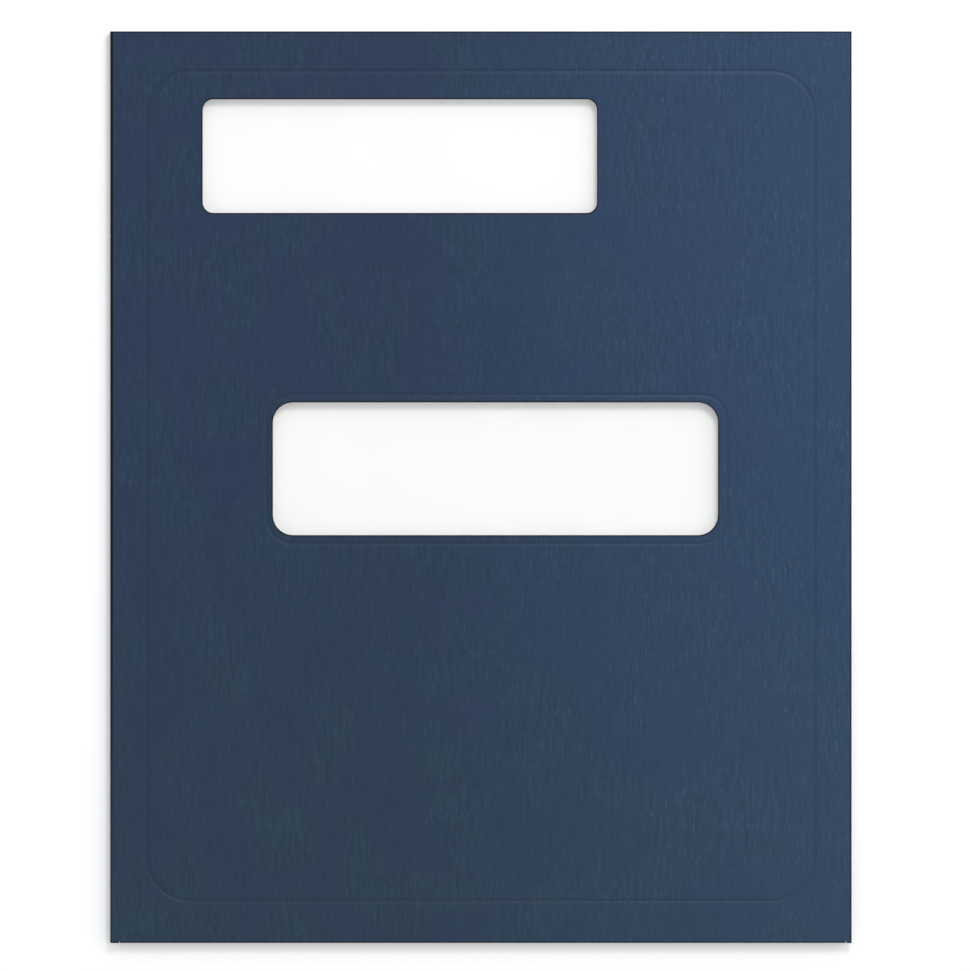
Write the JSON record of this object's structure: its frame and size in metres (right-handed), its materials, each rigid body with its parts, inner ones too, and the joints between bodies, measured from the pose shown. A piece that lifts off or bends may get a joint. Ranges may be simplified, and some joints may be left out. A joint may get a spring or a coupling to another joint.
{
  "type": "presentation folder",
  "caption": "Flat card folder for letter sheets: front cover with die-cut windows and debossed frame lines, narrow creased spine, plain back cover, and a pocket inside each cover.",
  "frame": {"origin": "on the underside of the back cover, at the centre of the closed folder's outline", "axes": "+X across the cover from the spine to the opening edge, +Y up the cover to its top edge, +Z out of the front cover"},
  "size_m": [0.2324, 0.2858, 0.0032],
  "materials": {
    "navy_card": "fine linen embossed card, matt navy outside and white inside"
  },
  "bodies": {
    "back": {"back_cover": "navy_card"},
    "spine": {"spine": "navy_card"},
    "front": {"front_cover": "navy_card"}
  },
  "joints": [
    {"name": "spine_fold", "type": "hinge", "parent": "back", "child": "spine", "pos_m": [-0.1162, 0, 0], "axis": [0, -1, 0], "range_deg": [0, 90]},
    {"name": "cover_fold", "type": "hinge", "parent": "spine", "child": "front", "pos_m": [-0.1162, 0, 0.0032], "axis": [0, -1, 0], "range_deg": [0, 90]}
  ]
}
